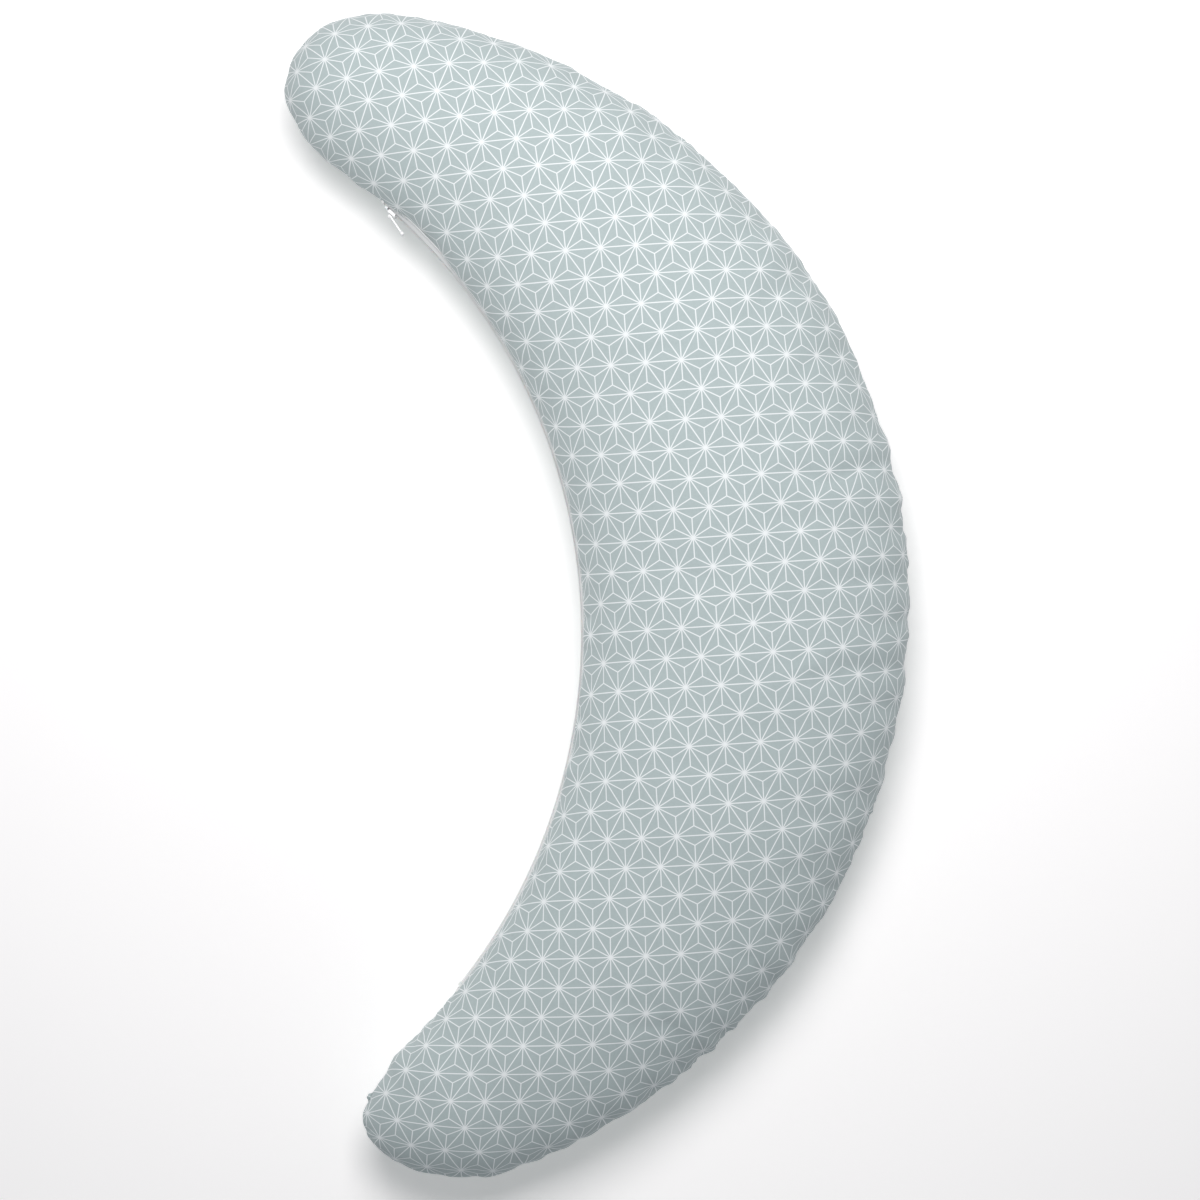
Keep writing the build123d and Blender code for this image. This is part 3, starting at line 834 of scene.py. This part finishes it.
# ---- Zipper ---------------------------------------------------------------------------------
# A white coil zipper let into the edge round the bay: two woven polyester tapes with a spiral of
# nylon monofilament sewn along each, topstitched to the folded edges and tacked at both ends.
COIL_PITCH = 1.4 * MM
COIL_WIRE = 0.6 * MM
coil_low, coil_high = (corner.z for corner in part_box("zipper_coil_upper"))
COIL_ANGLE = 43.5  # the chain's end, from the middle of the bay
TAPE_FACE = BAY_RADIUS + 0.4 * MM
COIL_DEPTH = 1.9 * MM

# One turn of the coil is an upright loop of wire across the line.
coiling, given = row_tree("coil_row", ("Pitch", "Height", "Depth", "Thickness"))
unit_loop = add_node(
    coiling, "GeometryNodeCurvePrimitiveCircle", {"Resolution": 12, "Radius": 1.0}
)
upright_loop = add_node(
    coiling,
    "GeometryNodeTransform",
    {"Rotation": (pi / 2, 0, pi / 2)},
    {"Geometry": unit_loop.outputs[0]},
)
loop_size = add_node(
    coiling, "ShaderNodeCombineXYZ", {"X": 1.0}, {"Y": given["Depth"], "Z": given["Height"]}
)
sized_loop = add_node(
    coiling,
    "GeometryNodeTransform",
    links={"Geometry": upright_loop.outputs[0], "Scale": loop_size.outputs[0]},
)
one_turn = swept(coiling, sized_loop.outputs[0], given["Thickness"], sides=5, capped=False)
set_out(coiling, given, one_turn)

# Nylon monofilament is slightly see-through, with a soft shine along each turn.
nylon_coil, tree, shader = new_material(
    "nylon_coil",
    0.38,
    Base_Color=hex_colour("#eef1f0"),
    Subsurface_Weight=0.15,
    Subsurface_Scale=0.0006,
)
drawn_marks = object_texture(tree, "ShaderNodeTexNoise", {"Scale": 3000.0})
bump(tree, shader, drawn_marks, strength=0.15, distance=0.00003)


def bay_arc(radius, height, start_angle, end_angle, steps=360):
    """Points along the arc round the bay."""
    angles = np.radians(np.linspace(start_angle, end_angle, steps))
    x, y = BAY_X + radius * np.cos(angles), radius * np.sin(angles)
    return np.stack([x, y, np.full(steps, height)], axis=1)


coil_reach = (coil_high - coil_low - COIL_WIRE) / 2
coil_settings = {
    "Pitch": COIL_PITCH,
    "Height": coil_reach,
    "Depth": (COIL_DEPTH - COIL_WIRE) / 2,
    "Thickness": COIL_WIRE,
}
coil_middle = (coil_high + coil_low) / 2
half_pitch = degrees(COIL_PITCH / 2 / TAPE_FACE)
coil_rows = (("upper", coil_middle, 0.0), ("lower", 2 * seam_z - coil_middle, half_pitch))
for side, level, shift in coil_rows:
    first, last = shift - COIL_ANGLE, COIL_ANGLE - half_pitch + shift
    line = bay_arc(TAPE_FACE - COIL_DEPTH / 2, level, first, last)
    coil = laid_along(coiling, f"coil_{side}", line, coil_settings, nylon_coil)
    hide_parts(f"zipper_coil_{side}")

TOPSTITCH = {"Pitch": 2.9 * MM, "Length": 2.3 * MM, "Thickness": 0.45 * MM, "Slant": 0.0}
FROM_FOLD = 2.6 * MM
TOPSTITCH_PROUD = 0.1 * MM
for side, grid in (("upper", top_grid), ("lower", bottom_grid)):
    line = []
    for verts in grid:
        if in_opening[verts[0]]:
            edge, next_in = places[verts[0]], places[verts[1]]
            upwards = (next_in - edge) / np.linalg.norm(next_in - edge)
            turn = radians(bay_angle(edge[0], edge[1]))
            outwards = np.array([cos(turn), sin(turn), 0])
            line.append(edge + upwards * FROM_FOLD - outwards * TOPSTITCH_PROUD)
    sewn_along(f"topstitch_{side}", line, TOPSTITCH, f"zipper_stitching_{side}")


def finish_node(name, material):
    """Give a CAD node a material."""
    node = frame["nodes"][name]
    node.data.materials.clear()
    node.data.materials.append(material)


# Woven polyester tape: a fine herringbone twill, matt with a little sheen.
woven_tape, tree, shader = new_material("woven_tape", 0.8, Sheen_Weight=0.3)
rib_settings = {"Scale": 420.0, "Distortion": 0.6}
ribs = object_texture(tree, "ShaderNodeTexWave", rib_settings, bands_direction="Z")
bump(tree, shader, ribs, strength=0.5, distance=0.0001)
tree.links.new(blend(tree, "#e6eae9", "#f4f6f5", ribs), shader.inputs["Base Color"])
for name in ("zipper_tape_upper", "zipper_tape_lower"):
    finish_node(name, woven_tape)
finish_node("zipper_bar_tacks", sewing_thread)
for name in ("zipper_top_stops", "zipper_bottom_stop"):
    finish_node(name, nylon_coil)

# Blank satin care label: close, glossy warp floats.
label_satin, tree, shader = new_material(
    "label_satin", 0.4, Base_Color=hex_colour("#f6f6f4"), Sheen_Weight=0.2
)
floats = object_texture(tree, "ShaderNodeTexWave", {"Scale": 800.0}, bands_direction="Z")
bump(tree, shader, floats, strength=0.2, distance=0.00005)
finish_node("care_label", label_satin)

# ---- Slider and pull ------------------------------------------------------------------------
# Die-cast zinc under white lacquer: glossy, with a faint orange-peel, worn a little grey on its
# edges. The pull hangs from a pin through the slider's lug.
white_lacquer, tree, shader = new_material(
    "white_lacquered_zinc", 0.3, Coat_Weight=0.4, Coat_Roughness=0.12
)
peel = object_texture(tree, "ShaderNodeTexNoise", {"Scale": 1500.0})
bump(tree, shader, peel, strength=0.12, distance=0.00005)
edge_finder = add_node(tree, "ShaderNodeNewGeometry")
worn_settings = {"From Min": 0.52, "From Max": 0.62, "To Min": 0.0, "To Max": 0.5}
worn = add_node(
    tree, "ShaderNodeMapRange", worn_settings, {"Value": edge_finder.outputs["Pointiness"]}
)
lacquer = blend(tree, "#eceeee", "#a9adae", worn.outputs[0])
tree.links.new(lacquer, shader.inputs["Base Color"])
for name in ("slider_body", "slider_crown", "pull_tab"):
    finish_node(name, white_lacquer)
